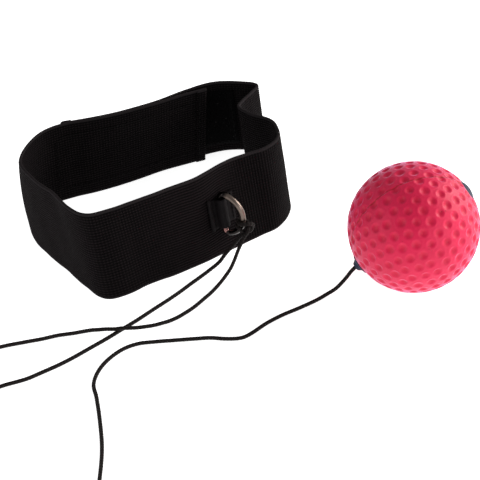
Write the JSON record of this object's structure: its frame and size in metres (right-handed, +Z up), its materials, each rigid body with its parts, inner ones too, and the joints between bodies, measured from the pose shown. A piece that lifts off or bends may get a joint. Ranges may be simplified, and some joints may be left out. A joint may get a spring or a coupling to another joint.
{
  "type": "reflex ball headband",
  "caption": "Elastic headband with a hook and loop closure, a ring on its front, and a dimpled foam ball tied to the ring by a looped elastic cord, for boxing reflex training.",
  "frame": {"origin": "on the ground, at the middle of the box round the strap and the ball, without the free cord", "axes": "+Z up; +X from the strap towards the ball, along the longest side; +Y towards the strap's closure at the back"},
  "size_m": [0.2584, 0.2827, 0.063],
  "materials": {
    "strap_knit": "black ribbed knitted elastic, matt",
    "strap_hem": "black ribbed knitted elastic, folded and pressed",
    "loop_pile": "black brushed loop pile",
    "hook_tape": "black hook tape, fuzzy with lint",
    "thread": "black polyester thread",
    "tab_tape": "black woven tape, slightly shiny",
    "ring_metal": "dark nickel plate, polished",
    "cord_braid": "brown-black braided elastic cord",
    "ball_foam": "pink-red moulded foam, soft matt sheen",
    "core_plastic": "natural plastic tube",
    "cap_plastic": "dark navy moulded plastic, satin",
    "tie_rubber": "black rubber band, matt"
  },
  "bodies": {
    "headband": {"elastic_band": "strap_knit", "inner_end_hem": "strap_hem", "inner_hem_stitches": "thread", "loop_patch": "loop_pile", "loop_patch_stitches": "thread", "ring_tab": "tab_tape", "tab_stitches": "thread", "loop_strand_a": "cord_braid", "loop_strand_b": "cord_braid", "loop_knot": "cord_braid", "knot_lead": "cord_braid", "cord_coil": "cord_braid", "coil_tie": "tie_rubber", "ball_cord": "cord_braid", "inner_cord": "cord_braid", "stop_knot": "cord_braid"},
    "closure_flap": {"band_tail": "strap_knit", "tail_hem": "strap_hem", "tail_hem_stitches": "thread", "hook_patch": "hook_tape", "hook_patch_stitches": "thread"},
    "ring": {"d_ring": "ring_metal", "ring_hitch": "cord_braid"},
    "ball": {"foam_ball": "ball_foam", "core_tube": "core_plastic", "cord_cap": "cap_plastic", "end_cap": "cap_plastic"}
  },
  "joints": [
    {"name": "closure_peel", "type": "hinge", "parent": "headband", "child": "closure_flap", "pos_m": [0.00803, 0.08132, 0], "axis": [0.0217, 0.1575, -0.9873], "range_deg": [0, 90]},
    {"name": "ring_pivot", "type": "hinge", "parent": "headband", "child": "ring", "pos_m": [-0.0084, -0.0152, 0.0248], "axis": [-0.0696, 0.0698, 0.9951], "range_deg": [-87, 43]},
    {"name": "ball_spin", "type": "hinge", "parent": "headband", "child": "ball", "pos_m": [0.0819, -0.0512, 0.0315], "axis": [0.8434, 0.105, 0.527], "continuous": true}
  ]
}
